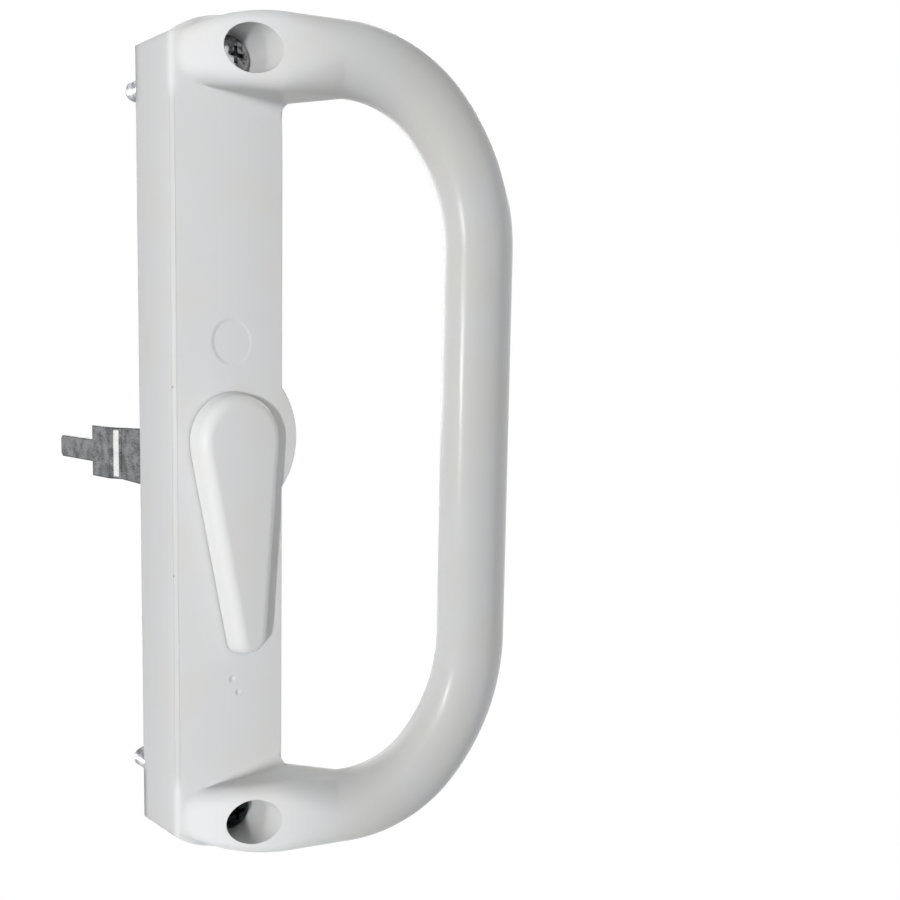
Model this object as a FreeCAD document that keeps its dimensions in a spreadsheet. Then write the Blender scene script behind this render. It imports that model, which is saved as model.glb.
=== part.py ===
import FreeCAD, Part
import math
import os

import Sketcher

# Sliding patio door handle, interior side: an escutcheon plate with its pull loop cast in one piece,
# a thumb lever that turns a cranked tailpiece through the door stile, and two mounting screws.
# Millimetres. The door face is the plane y = 0, the handle stands out towards -Y and +Z is up.
# The origin is on the door face, midway between the two mounting screws.
# In the comments "height" is the distance in front of the door face, so y = -height.

SIZES = {
    # escutcheon plate
    "screw_to_end": 9.05,
    "plate_width": 28.5,
    "plate_depth": 14.3,
    "end_rise": 7.5,
    "end_arch_radius": 29.0,
    "end_corner_radius": 3.0,
    "front_edge_chamfer": 0.65,
    "shell_wall": 2.5,
    "lobe_wall": 2.5,
    "pivot_rise": 1.5,
    # pull loop
    "loop_flare": 1.1,
    "loop_cant": 34.0,
    "ramp_inset": 1.5,
    "bar_thickness": 16.0,
    "leg_width": 16.6,
    "grip_width": 16.0,
    "grip_reach": 74.7,
    "corner_reach": 32.0,
    "leg_bend_radius": 27.5,
    "grip_bend_radius": 48.5,
    "root_edge_radius": 3.7,
    "grip_flat": 0.4,
    "root_cover": 0.6,
    "root_fillet_start": 0.3,
    "root_fillet_end": 3.0,
    "root_fillet_inset": 9.0,
    "root_fillet_sink": 0.5,
    # mounting screws
    "screw_spacing": 168.3,
    "counterbore_diameter": 10.2,
    "seat_height": 13.0,
    "screw_diameter": 4.83,
    "neck_diameter": 4.2,
    "screw_hole_clearance": 0.3,
    "screw_length": 41.0,
    "screw_tip_chamfer": 0.8,
    "head_diameter": 9.2,
    "head_height": 3.2,
    "head_rim": 0.9,
    "head_flat": 5.6,
    "recess_span": 4.6,
    "recess_slot": 1.1,
    "recess_depth": 1.9,
    # thumb lever
    "lever_head_radius": 10.9,
    "lever_length": 49.0,
    "lever_tip_width": 9.3,
    "lever_tip_radius": 2.9,
    "lever_thickness": 4.5,
    "lever_draft": 12.0,
    "lever_edge_radius": 1.3,
    "lever_rest_tilt": 3.5,
    "stem_diameter": 8.0,
    "stem_flats": 6.2,
    "stem_end_height": 1.6,
    # pivot bushing and the spring washer behind the plate
    "boss_height": 6.9,
    "boss_wall": 2.5,
    "bushing_wall": 1.5,
    "bushing_flange_diameter": 15.0,
    "bushing_flange_thickness": 0.5,
    "running_clearance": 0.03,
    "press_clearance": 0.01,
    "face_clearance": 0.05,
    "washer_height": 1.0,
    "washer_sheet": 0.5,
    "washer_clearance": 0.35,
    "washer_band": 2.8,
    # tailpiece
    "tail_sheet": 1.6,
    "tail_bend_radius": 1.0,
    "tail_offset": 9.0,
    "tail_drop": 5.0,
    "tail_root_width": 13.8,
    "tail_width": 12.4,
    "tail_eye_radius": 7.4,
    "joggle_start": 18.5,
    "joggle_length": 3.0,
    "joggle_step": 1.6,
    "tail_shoulder": 30.0,
    "tail_length": 47.2,
    "tail_tip_width": 5.4,
    "tail_tip_chamfer": 0.8,
    "swing_clearance": 1.05,
    "flats_clearance": 0.05,
    # retaining clip
    "clip_thickness": 0.8,
    "clip_radius": 6.4,
    "clip_mouth": 5.0,
    "groove_depth": 0.9,
    "groove_clearance": 0.05,
}

SHEET_NAME = "Sizes"
TOUCHING = 1e-4

# How a sketch numbers its own axes, downwards, and the points of a curve, upwards
SKETCH_ACROSS, SKETCH_UP = range(-1, -3, -1)
START, END, CENTRE = range(1, 4)

doc = FreeCAD.newDocument("patio_door_handle")
sheet = doc.addObject("Spreadsheet::Sheet", SHEET_NAME)
for row, (alias, number) in enumerate(SIZES.items(), start=1):
    sheet.set(f"A{row}", alias)
    sheet.set(f"B{row}", str(number))
    sheet.setAlias(f"B{row}", alias)
doc.recompute()


class Size:
    """A size of the sheet, or one worked out from such sizes, as a number and as a sheet expression."""

    def __init__(self, text, value):
        self.text = text
        self.value = value

    @staticmethod
    def wrap(other):
        return other if isinstance(other, Size) else Size(repr(other), other)

    def __add__(self, other):
        other = Size.wrap(other)
        return Size(f"({self.text} + {other.text})", self.value + other.value)

    def __sub__(self, other):
        other = Size.wrap(other)
        return Size(f"({self.text} - {other.text})", self.value - other.value)

    def __mul__(self, other):
        other = Size.wrap(other)
        return Size(f"({self.text} * {other.text})", self.value * other.value)

    def __truediv__(self, other):
        other = Size.wrap(other)
        return Size(f"({self.text} / {other.text})", self.value / other.value)

    def __neg__(self):
        return Size(f"(-{self.text})", -self.value)

    def root(self):
        return Size(f"sqrt({self.text})", math.sqrt(self.value))

    def sine(self):
        return Size(f"sin({self.text})", math.sin(math.radians(self.value)))

    def cosine(self):
        return Size(f"cos({self.text})", math.cos(math.radians(self.value)))


def size(alias):
    return Size(f"{SHEET_NAME}.{alias}", SIZES[alias])


def smaller(first, second):
    return Size(f"min({first.text}; {second.text})", min(first.value, second.value))


ZERO = Size("0", 0.0)
ACROSS = FreeCAD.Vector(1, 0, 0)
INTO_DOOR = FreeCAD.Vector(0, 1, 0)
UP = FreeCAD.Vector(0, 0, 1)


def bind(item, prop, wanted):
    item.setExpression(prop, wanted.text)


def new_body(label):
    body = doc.addObject("PartDesign::Body", label)
    body.Label = label
    return body


def origin_feature(body, role):
    return next(feature for feature in body.Origin.OriginFeatures if feature.Role == role)


def new_sketch(body, name, plane, offset=(ZERO, ZERO, ZERO), axis=UP, angle=ZERO):
    """A sketch on an origin plane of the body, moved by offset and turned about axis."""
    sketch = body.newObject("Sketcher::SketchObject", name)
    sketch.AttachmentSupport = (origin_feature(body, plane), [""])
    sketch.MapMode = "FlatFace"
    base = FreeCAD.Vector(*[step.value for step in offset])
    sketch.AttachmentOffset = FreeCAD.Placement(base, FreeCAD.Rotation(axis, angle.value))
    for letter, step in zip("xyz", offset):
        bind(sketch, f"AttachmentOffset.Base.{letter}", step)
    if angle is not ZERO:
        bind(sketch, "AttachmentOffset.Rotation.Angle", angle)
    return sketch


def pin(sketch, curve, point, x, y):
    """Hold a point of a curve at the sketch coordinates x and y."""
    for kind, axis, wanted in (("DistanceX", SKETCH_UP, x), ("DistanceY", SKETCH_ACROSS, y)):
        if wanted is ZERO:
            sketch.addConstraint(Sketcher.Constraint("PointOnObject", curve, point, axis))
        else:
            rule = Sketcher.Constraint(kind, SKETCH_ACROSS, START, curve, point, wanted.value)
            sketch.setExpression(f"Constraints[{sketch.addConstraint(rule)}]", wanted.text)


def arc_between(start, end, radius, turn):
    """The shorter arc from start to end, its centre on the left where turn is 1, else on the right."""
    chord = end - start
    rise = math.sqrt(max(radius ** 2 - chord.Length ** 2 / 4, 0.0))
    left = FreeCAD.Vector(-chord.y, chord.x, 0).normalize()
    centre = start + chord / 2 + left * rise * turn
    first, last = (start, end) if turn > 0 else (end, start)
    angles = [math.atan2(point.y - centre.y, point.x - centre.x) for point in (first, last)]
    circle = Part.Circle(centre, UP, radius)
    return Part.ArcOfCircle(circle, *angles)


def draw(sketch, corners, closed=True):
    """Join corners in order: (x, y) begins a straight run and (x, y, radius, turn) begins an arc."""
    spots = [FreeCAD.Vector(corner[0].value, corner[1].value, 0) for corner in corners]
    runs = len(corners) if closed else len(corners) - 1
    ends = []
    for index in range(runs):
        corner = corners[index]
        start, end = spots[index], spots[(index + 1) % len(spots)]
        if len(corner) == 2:
            curve = sketch.addGeometry(Part.LineSegment(start, end))
            ends.append((curve, START, END))
        else:
            radius, turn = corner[2:]
            curve = sketch.addGeometry(arc_between(start, end, radius.value, turn))
            rule = sketch.addConstraint(Sketcher.Constraint("Radius", curve, radius.value))
            sketch.setExpression(f"Constraints[{rule}]", radius.text)
            ends.append((curve, START, END) if turn > 0 else (curve, END, START))
        pin(sketch, curve, ends[-1][1], corner[0], corner[1])
    for index in range(runs - 1 + closed):
        here, after = ends[index], ends[(index + 1) % runs]
        sketch.addConstraint(Sketcher.Constraint("Coincident", here[0], here[2], after[0], after[1]))
    if not closed:
        pin(sketch, ends[-1][0], ends[-1][2], corners[-1][0], corners[-1][1])


def draw_circle(sketch, x, y, radius):
    centre = FreeCAD.Vector(x.value, y.value, 0)
    curve = sketch.addGeometry(Part.Circle(centre, UP, radius.value))
    rule = sketch.addConstraint(Sketcher.Constraint("Radius", curve, radius.value))
    sketch.setExpression(f"Constraints[{rule}]", radius.text)
    pin(sketch, curve, CENTRE, x, y)


def draw_box(sketch, x_low, x_high, y_low, y_high):
    draw(sketch, [(x_low, y_low), (x_high, y_low), (x_high, y_high), (x_low, y_high)])


def draw_bar_section(sketch, back, inner, outer, radius, swapped=False):
    """A rounded section of the bar, from -back to back through it and from its inner to its outer side.

    The corners run the same way round the bar in every sketch, and swapped is for a sketch whose first
    axis points outwards.
    """
    front = -back
    corners = [
        (front + radius, inner), (back - radius, inner), (back, inner + radius), (back, outer - radius),
        (back - radius, outer), (front + radius, outer), (front, outer - radius), (front, inner + radius),
    ]
    turn = -1 if swapped else 1
    if swapped:
        corners = [(y, x) for x, y in corners]
    draw(sketch, [corner + (radius, turn) if index % 2 else corner for index, corner in enumerate(corners)])


def add_pad(body, sketch, length, reverse=False, draft=None):
    pad = body.newObject("PartDesign::Pad", sketch.Name + "_pad")
    pad.Profile = sketch
    bind(pad, "Length", length)
    pad.Reversed = reverse
    if draft is not None:
        bind(pad, "TaperAngle", draft)
    doc.recompute()
    return pad


def add_loft(body, name, sections):
    loft = body.newObject("PartDesign::AdditiveLoft", name)
    loft.Profile = sections[0]
    loft.Sections = sections[1:]
    doc.recompute()
    return loft


def cut(body, sketch, length=None, reverse=False):
    """Pocket a sketch by length, or through everything, and make sure that it took material away."""
    before = body.Shape.Volume
    pocket = body.newObject("PartDesign::Pocket", sketch.Name + "_cut")
    pocket.Profile = sketch
    pocket.Reversed = reverse
    if length is None:
        pocket.Type = "ThroughAll"
    else:
        bind(pocket, "Length", length)
    doc.recompute()
    if not body.Shape.Volume < before:
        raise RuntimeError(f"{pocket.Name} took nothing away")
    return pocket


def revolve(body, sketch):
    """Turn a half section about the body's Y axis."""
    turned = body.newObject("PartDesign::Revolution", sketch.Name + "_turn")
    turned.Profile = sketch
    turned.ReferenceAxis = (origin_feature(body, "Y_Axis"), [""])
    doc.recompute()
    return turned


def dress_edges(body, base, kind, prop, wide, wanted):
    """Fillet or chamfer, as kind says, the edges of a feature for which wanted is true."""
    names = [f"Edge{i}" for i, edge in enumerate(base.Shape.Edges, start=1) if wanted(edge)]
    dressed = body.newObject(f"PartDesign::{kind}", f"{base.Name}_{kind.lower()}")
    dressed.Base = (base, names)
    bind(dressed, prop, wide)
    doc.recompute()
    return dressed


def lies_at(edge, axis, place):
    """True where both ends and the middle of an edge have the coordinate place along axis."""
    middle = edge.valueAt((edge.FirstParameter + edge.LastParameter) / 2)
    points = [vertex.Point for vertex in edge.Vertexes] + [middle]
    return all(abs(point.dot(axis) - place.value) < TOUCHING for point in points)


# Places that several pieces share

plate_half = size("plate_width") / 2
pivot = size("pivot_rise")
screw_up = size("screw_spacing") / 2
plate_top = screw_up + size("screw_to_end")
loop_top = plate_top + size("loop_flare")
end_rise = size("end_rise")
side_top = plate_top - end_rise
arch_run = (size("end_arch_radius") * end_rise * 2 - end_rise * end_rise).root()
arch_end = arch_run - plate_half
stem_radius = size("stem_diameter") / 2
bushing_bore = stem_radius + size("running_clearance")
bushing_radius = bushing_bore + size("bushing_wall")
boss_bore = bushing_radius + size("press_clearance")
lever_base = size("plate_depth") + size("bushing_flange_thickness") + size("face_clearance")
eye_front = size("boss_height") - size("washer_height")
eye_back = eye_front - size("tail_sheet")
clip_front = eye_back - size("groove_clearance")
clip_back = clip_front - size("clip_thickness")
groove_radius = stem_radius - size("groove_depth")
tail_far = size("tail_offset")
tail_low = size("tail_drop") + size("tail_root_width") / 2
tail_swing = (tail_far * tail_far + tail_low * tail_low).root()
lobe_inside = tail_swing + size("swing_clearance")
lobe_radius = lobe_inside + size("lobe_wall")
rest_tilt = size("lever_rest_tilt")


def lobe_join(radius, side):
    """How far above the pivot a lobe of this radius leaves a straight side."""
    return (radius * radius - side * side).root()


def make_handle_casting():
    """Escutcheon plate, pull loop, hollow back and screw seats of the one-piece die casting."""
    body = new_body("handle_casting")
    outline = new_sketch(body, "plate_outline", "XZ_Plane")
    join = lobe_join(lobe_radius, plate_half)
    arch = (size("end_arch_radius"), 1)
    draw(outline, [
        (plate_half, pivot - join, lobe_radius, 1), (plate_half, pivot + join),
        (plate_half, plate_top), (arch_end, plate_top, *arch),
        (-plate_half, side_top), (-plate_half, -side_top, *arch),
        (arch_end, -plate_top), (plate_half, -plate_top),
    ])
    plate = add_pad(body, outline, size("plate_depth"))
    far_corners = dress_edges(body, plate, "Fillet", "Radius", size("end_corner_radius"), lambda edge: (
        lies_at(edge, ACROSS, plate_half)
        and (lies_at(edge, UP, plate_top) or lies_at(edge, UP, -plate_top))))
    front = -size("plate_depth")
    dress_edges(body, far_corners, "Chamfer", "Size", size("front_edge_chamfer"),
                lambda edge: lies_at(edge, INTO_DOOR, front))
    add_pull_loop(body)
    add_hollow_back(body)
    return body


def add_pull_loop(body):
    """The D-shaped bar in a plane canted off the door: squarish at its roots and round at the grip."""
    cant = size("loop_cant")
    thick = size("bar_thickness")
    half_thick = thick / 2
    ramp_x = size("ramp_inset") - plate_half
    middle_x = ramp_x + cant.sine() * half_thick
    middle_height = size("plate_depth") - cant.cosine() * half_thick
    root = (thick * cant.cosine() + size("root_cover") - size("plate_depth")) / cant.sine()
    shoulder = (arch_end - ramp_x) / cant.cosine()
    leg_line = loop_top - size("leg_width") / 2
    half_grip = size("grip_width") / 2
    grip_line = size("grip_reach") - half_grip
    bend = grip_line - size("corner_reach")
    small, large = size("leg_bend_radius"), size("grip_bend_radius")
    spread = large - small
    lean = large - size("corner_reach")
    fall = (spread * spread - lean * lean).root()
    grip_end = leg_line - small - fall
    meet_u = bend + lean * small / spread
    meet_z = leg_line - small + fall * small / spread

    path = new_sketch(body, "loop_path", "XZ_Plane", (middle_x, ZERO, middle_height), -INTO_DOOR, cant)
    draw(path, [
        (bend, leg_line, small, -1), (meet_u, meet_z, large, -1), (grip_line, grip_end),
    ], closed=False)

    grip_round = smaller(thick, size("grip_width")) / 2 - size("grip_flat")
    root_round = size("root_edge_radius")

    def leg_section(name, along, inner, ceiling, edge):
        """A section square to the leg, this far along the slope from where the ramp leaves the plate."""
        place = (-middle_height - cant.sine() * along, ZERO, middle_x + cant.cosine() * along)
        section = new_sketch(body, name, "YZ_Plane", place, -INTO_DOOR, cant)
        draw_bar_section(section, half_thick, inner, ceiling, edge)
        return section

    def arch_top(along):
        """The height of the plate's end arch where the ramp has come this far."""
        across = (shoulder - along) * cant.cosine()
        radius = size("end_arch_radius")
        return plate_top - radius + (radius * radius - across * across).root()

    halfway = (root + shoulder) / 2
    root_inner = plate_top - size("leg_width")
    root_section = leg_section("root_section", root, root_inner, arch_top(root), root_round)
    ramp_section = leg_section("ramp_section", halfway, root_inner, arch_top(halfway), root_round)
    shoulder_section = leg_section("shoulder_section", shoulder, root_inner, plate_top, root_round)
    bend_section = leg_section("bend_section", bend, leg_line - half_grip, leg_line + half_grip, grip_round)
    place = (middle_x + cant.cosine() * grip_line, -middle_height - cant.sine() * grip_line, grip_end)
    grip_section = new_sketch(body, "grip_section", "XY_Plane", place, -UP, cant)
    draw_bar_section(grip_section, half_thick, -half_grip, half_grip, grip_round, swapped=True)
    doc.recompute()

    ramp = add_loft(body, "loop_ramp", [root_section, ramp_section, shoulder_section])
    leg = add_loft(body, "loop_leg", [shoulder_section, bend_section])
    corner = body.newObject("PartDesign::AdditivePipe", "loop_corner")
    corner.Profile = bend_section
    corner.Spine = (path, [f"Edge{i}" for i in range(1, len(path.Shape.Edges) + 1)])
    doc.recompute()
    grip = add_pad(body, grip_section, grip_end, reverse=True)
    fillet = add_root_fillet(body, root_inner)
    lower = body.newObject("PartDesign::Mirrored", "loop_lower_half")
    lower.Originals = [ramp, leg, corner, grip, fillet]
    lower.MirrorPlane = (origin_feature(body, "XY_Plane"), [""])
    body.Tip = lower
    doc.recompute()


def add_root_fillet(body, inner):
    """The hollow fillet between the plate's face and the inner side of a leg, growing with the ramp."""
    face = -size("plate_depth")
    sink = size("root_fillet_sink")

    def fillet_section(name, x, radius):
        section = new_sketch(body, name, "YZ_Plane", (ZERO, ZERO, x))
        draw(section, [
            (face + sink, inner + sink), (face - radius, inner + sink), (face - radius, inner, radius, -1),
            (face, inner - radius), (face + sink, inner - radius),
        ])
        return section

    thin, thick = size("root_fillet_start"), size("root_fillet_end")
    start = fillet_section("fillet_start", size("root_fillet_inset") - plate_half, thin)
    end = fillet_section("fillet_end", plate_half - size("front_edge_chamfer") - sink, thick)
    return add_loft(body, "root_fillet", [start, end])


def add_hollow_back(body):
    """The cored back, the pivot boss and the counterbored screw holes."""
    inner_half = plate_half - size("shell_wall")
    core_top = screw_up - size("counterbore_diameter") / 2 - size("shell_wall")
    core_depth = size("plate_depth") - size("shell_wall")
    join = lobe_join(lobe_inside, inner_half)
    core = new_sketch(body, "back_core", "XZ_Plane")
    draw(core, [
        (inner_half, pivot - join, lobe_inside, 1), (inner_half, pivot + join), (inner_half, core_top),
        (-inner_half, core_top), (-inner_half, -core_top), (inner_half, -core_top),
    ])
    cut(body, core, core_depth, reverse=True)

    boss = new_sketch(body, "pivot_boss", "XZ_Plane", (ZERO, ZERO, size("boss_height")))
    draw_circle(boss, ZERO, pivot, boss_bore + size("boss_wall"))
    add_pad(body, boss, core_depth - size("boss_height"))
    bore = new_sketch(body, "pivot_bore", "XZ_Plane")
    draw_circle(bore, ZERO, pivot, boss_bore)
    cut(body, bore, reverse=True)

    seat = new_sketch(body, "screw_seats", "XZ_Plane", (ZERO, ZERO, size("seat_height")))
    passage = new_sketch(body, "screw_passages", "XZ_Plane", (ZERO, ZERO, size("seat_height")))
    for place in (screw_up, -screw_up):
        draw_circle(seat, ZERO, place, size("counterbore_diameter") / 2)
        draw_circle(passage, ZERO, place, size("screw_diameter") / 2 + size("screw_hole_clearance"))
    cut(body, seat, reverse=True)
    cut(body, passage)


def set_on_pivot(body, tilt=ZERO):
    """Place a piece that was drawn about the origin on the pivot, swung to where the lever hangs."""
    body.Placement = FreeCAD.Placement(UP * pivot.value, FreeCAD.Rotation(-INTO_DOOR, tilt.value))
    bind(body, "Placement.Base.z", pivot)
    if tilt is not ZERO:
        bind(body, "Placement.Rotation.Angle", tilt)


def draw_flats(sketch, radius, half_flats):
    """A round with two flats that face left and right."""
    corner = (radius * radius - half_flats * half_flats).root()
    draw(sketch, [
        (half_flats, -corner), (half_flats, corner, radius, 1),
        (-half_flats, corner), (-half_flats, -corner, radius, 1),
    ])


def make_thumb_lever():
    """Teardrop lever with its stem: a round journal, then two upright flats with a groove for the clip."""
    body = new_body("thumb_lever")
    head, corner = size("lever_head_radius"), size("lever_tip_radius")
    side = size("lever_tip_width") / 2 - corner
    down = size("lever_length") - corner
    reach = (side * side + down * down).root()
    lean = (head - corner) / reach
    stand = (ZERO + 1 - lean * lean).root()
    normal_x = (lean * side + stand * down) / reach
    normal_z = (stand * side - lean * down) / reach
    blade = new_sketch(body, "lever_outline", "XZ_Plane", (ZERO, ZERO, lever_base))
    draw(blade, [
        (normal_x * head, normal_z * head, head, 1), (ZERO, head, head, 1),
        (-normal_x * head, normal_z * head),
        (-side - normal_x * corner, normal_z * corner - down, corner, 1), (-side, -size("lever_length")),
        (side, -size("lever_length"), corner, 1), (side + normal_x * corner, normal_z * corner - down),
    ])
    slab = add_pad(body, blade, size("lever_thickness"), draft=-size("lever_draft"))
    crown = -lever_base - size("lever_thickness")
    dress_edges(body, slab, "Fillet", "Radius", size("lever_edge_radius"),
                lambda edge: lies_at(edge, INTO_DOOR, crown))

    journal = new_sketch(body, "stem_journal", "XZ_Plane", (ZERO, ZERO, eye_front))
    draw_circle(journal, ZERO, ZERO, stem_radius)
    add_pad(body, journal, lever_base - eye_front)
    flats_place = (ZERO, ZERO, size("stem_end_height"))
    flats = new_sketch(body, "stem_flats", "XZ_Plane", flats_place, UP, -rest_tilt)
    draw_flats(flats, stem_radius, size("stem_flats") / 2)
    add_pad(body, flats, eye_front - size("stem_end_height"))

    ring = new_sketch(body, "clip_groove", "XY_Plane")
    draw_box(ring, groove_radius, size("stem_diameter"), -eye_back, size("groove_clearance") - clip_back)
    groove = body.newObject("PartDesign::Groove", "clip_groove_turn")
    groove.Profile = ring
    groove.ReferenceAxis = (origin_feature(body, "Y_Axis"), [""])
    set_on_pivot(body, rest_tilt)
    doc.recompute()
    return body


def make_pivot_bushing():
    """Flanged bushing that carries the stem in the plate."""
    body = new_body("pivot_bushing")
    half = new_sketch(body, "bushing_section", "XY_Plane")
    flange = size("bushing_flange_diameter") / 2
    front = -size("plate_depth") - size("bushing_flange_thickness")
    draw(half, [
        (bushing_bore, front), (flange, front), (flange, -size("plate_depth")),
        (bushing_radius, -size("plate_depth")), (bushing_radius, -size("boss_height")),
        (bushing_bore, -size("boss_height")),
    ])
    revolve(body, half)
    set_on_pivot(body)
    doc.recompute()
    return body


def make_spring_washer():
    """Dished spring washer that loads the tailpiece against its clip."""
    body = new_body("spring_washer")
    inside = stem_radius + size("washer_clearance")
    outside = inside + size("washer_band")
    high, low = -size("boss_height"), -eye_front
    sheet_thick = size("washer_sheet")
    half = new_sketch(body, "washer_section", "XY_Plane")
    draw(half, [
        (inside, high), (outside, low - sheet_thick), (outside, low), (inside, high + sheet_thick),
    ])
    revolve(body, half)
    set_on_pivot(body)
    doc.recompute()
    return body


def make_tailpiece():
    """Cranked steel stamping: an eye on the stem's flats, then a tapered and joggled blade with a narrow tip."""
    body = new_body("tailpiece")
    thick = size("tail_sheet")
    inner = size("tail_bend_radius")
    outer = inner + thick
    face = -size("tail_offset")
    stepped = face - size("joggle_step")
    bend_x = face + outer
    start, stop = size("joggle_start"), size("joggle_start") + size("joggle_length")
    length = size("tail_length")
    strip = new_sketch(body, "blade_strip", "XY_Plane", (ZERO, ZERO, -tail_low))
    draw(strip, [
        (ZERO, -eye_front), (ZERO, -eye_back),
        (bend_x, -eye_back, inner, -1), (face + thick, inner - eye_back),
        (face + thick, start), (stepped + thick, stop), (stepped + thick, length), (stepped, length),
        (stepped, stop), (face, start), (face, outer - eye_front, outer, 1), (bend_x, -eye_front),
    ])
    add_pad(body, strip, size("tail_root_width"))
    eye = new_sketch(body, "stem_eye", "XZ_Plane", (ZERO, ZERO, eye_back))
    draw_circle(eye, ZERO, ZERO, size("tail_eye_radius"))
    add_pad(body, eye, thick)
    hole = new_sketch(body, "stem_slot", "XZ_Plane")
    snug = size("flats_clearance")
    draw_flats(hole, stem_radius + snug, size("stem_flats") / 2 + snug)
    cut(body, hole, size("boss_height"), reverse=True)

    half_tip = size("tail_tip_width") / 2
    half_width = size("tail_width") / 2
    half_root = size("tail_root_width") / 2
    beyond = length + half_tip
    notch = new_sketch(body, "blade_sides", "YZ_Plane", (ZERO, -size("tail_drop"), ZERO))
    chamfer = size("tail_tip_chamfer")
    for way in (1, -1):
        edge, side, root = half_tip * way, half_width * way, half_root * way
        rim = root + edge
        draw(notch, [
            (ZERO, root), (start, side), (size("tail_shoulder"), side), (size("tail_shoulder"), edge),
            (length - chamfer, edge), (length, edge - chamfer * way), (beyond, edge - chamfer * way),
            (beyond, rim), (ZERO, rim),
        ])
    pocket = cut(body, notch)
    pocket.Midplane = True
    set_on_pivot(body)
    doc.recompute()
    return body


def make_retaining_clip():
    """Push-on ring in the stem's groove, open at one side."""
    body = new_body("retaining_clip")
    ring = new_sketch(body, "clip_ring", "XZ_Plane", (ZERO, ZERO, clip_back))
    draw_circle(ring, ZERO, ZERO, size("clip_radius"))
    draw_circle(ring, ZERO, ZERO, groove_radius + size("groove_clearance"))
    add_pad(body, ring, size("clip_thickness"))
    mouth = new_sketch(body, "clip_mouth", "XZ_Plane", (ZERO, ZERO, clip_back))
    half_mouth = size("clip_mouth") / 2
    draw_box(mouth, -half_mouth, half_mouth, ZERO, size("clip_radius") * 2)
    cut(body, mouth, size("clip_thickness"), reverse=True)
    set_on_pivot(body, rest_tilt)
    doc.recompute()
    return body


def make_mounting_screws():
    """Two pan-head machine screws, threaded from the door face on, as separate solids of one group."""
    body = new_body("upper_screw")
    shank = size("screw_diameter") / 2
    seat = -size("seat_height")
    crown = seat - size("head_height")
    shoulder = seat - size("head_rim")
    rim = size("head_diameter") / 2
    end = seat + size("screw_length")
    chamfer = size("screw_tip_chamfer")
    neck = size("neck_diameter") / 2
    half = new_sketch(body, "screw_section", "XY_Plane")
    draw(half, [
        (ZERO, crown), (size("head_flat") / 2, crown), (rim, shoulder), (rim, seat), (neck, seat),
        (neck, ZERO), (shank, ZERO), (shank, end - chamfer), (shank - chamfer, end), (ZERO, end),
    ])
    revolve(body, half)
    cross = new_sketch(body, "cross_recess", "XZ_Plane", (ZERO, ZERO, -crown - size("recess_depth")))
    arm, slot = size("recess_span") / 2, size("recess_slot") / 2
    draw(cross, [
        (arm, -slot), (arm, slot), (slot, slot), (slot, arm), (-slot, arm), (-slot, slot),
        (-arm, slot), (-arm, -slot), (-slot, -slot), (-slot, -arm), (slot, -arm), (slot, -slot),
    ])
    cut(body, cross, size("recess_depth"), reverse=True)
    body.Placement.Base = UP * screw_up.value
    bind(body, "Placement.Base.z", screw_up)
    lower = doc.addObject("Part::Mirroring", "lower_screw")
    lower.Source = body
    lower.Normal = UP
    pair = doc.addObject("Part::Compound", "mounting_screws")
    pair.Label = "mounting_screws"
    pair.Links = [body, lower]
    doc.recompute()
    return pair


def check(pieces):
    """Stop if any object failed or any piece is empty or broken."""
    failed = [item.Name for item in doc.Objects if {"Invalid", "Error"} & set(item.State)]
    if failed:
        raise RuntimeError(f"failed objects: {failed}")
    for piece in pieces:
        if piece.Shape.isNull() or not piece.Shape.isValid() or not piece.Shape.Solids:
            raise RuntimeError(f"{piece.Label} has no sound shape")


def main():
    pieces = [
        make_handle_casting(),
        make_pivot_bushing(),
        make_thumb_lever(),
        make_spring_washer(),
        make_tailpiece(),
        make_retaining_clip(),
        make_mounting_screws(),
    ]
    doc.recompute()
    check(pieces)
    os.makedirs("parts", exist_ok=True)
    for piece in pieces:
        piece.Shape.exportStep(f"parts/{piece.Label}.step")
        box = piece.Shape.BoundBox
        print(f"{piece.Label}: {len(piece.Shape.Solids)} solid(s), {piece.Shape.Volume:.0f} mm3, "
              f"x {box.XMin:.1f} to {box.XMax:.1f}, y {box.YMin:.1f} to {box.YMax:.1f}, "
              f"z {box.ZMin:.1f} to {box.ZMax:.1f}")


main()
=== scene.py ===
"""Looks of an interior sliding patio door handle: casting, lever, tailpiece and screws."""

import logging
import math
from dataclasses import dataclass
from enum import Enum
from typing import Any, Iterable, Union

import bmesh
import bpy
from mathutils import Matrix, Vector


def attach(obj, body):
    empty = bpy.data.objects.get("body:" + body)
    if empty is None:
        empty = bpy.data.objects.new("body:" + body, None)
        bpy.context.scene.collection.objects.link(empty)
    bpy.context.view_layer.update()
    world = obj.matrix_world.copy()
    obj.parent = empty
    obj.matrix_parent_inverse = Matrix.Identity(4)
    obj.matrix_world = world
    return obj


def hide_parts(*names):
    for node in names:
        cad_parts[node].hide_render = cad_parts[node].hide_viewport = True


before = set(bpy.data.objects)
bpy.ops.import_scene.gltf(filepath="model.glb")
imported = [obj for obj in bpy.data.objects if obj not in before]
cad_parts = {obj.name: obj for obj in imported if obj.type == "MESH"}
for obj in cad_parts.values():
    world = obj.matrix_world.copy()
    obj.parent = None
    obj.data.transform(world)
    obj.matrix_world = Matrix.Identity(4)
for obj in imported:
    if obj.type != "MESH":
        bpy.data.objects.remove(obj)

MM = 0.001
JOIN_WITHIN = 0.002 * MM
ON_PLANE = 1e-8
SMOOTH_UNDER = 28.0
WHITE = (1.0, 1.0, 1.0, 1.0)

Socket = bpy.types.NodeSocket
Key = Union[int, str]
Pair = tuple[float, float]
Triple = tuple[float, float, float]

log = logging.getLogger("patio_door_handle")


class Body(Enum):
    """The two bodies of the handle that move against each other."""

    HANDLE = "handle"
    THUMB_TURN = "thumb_turn"


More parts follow.
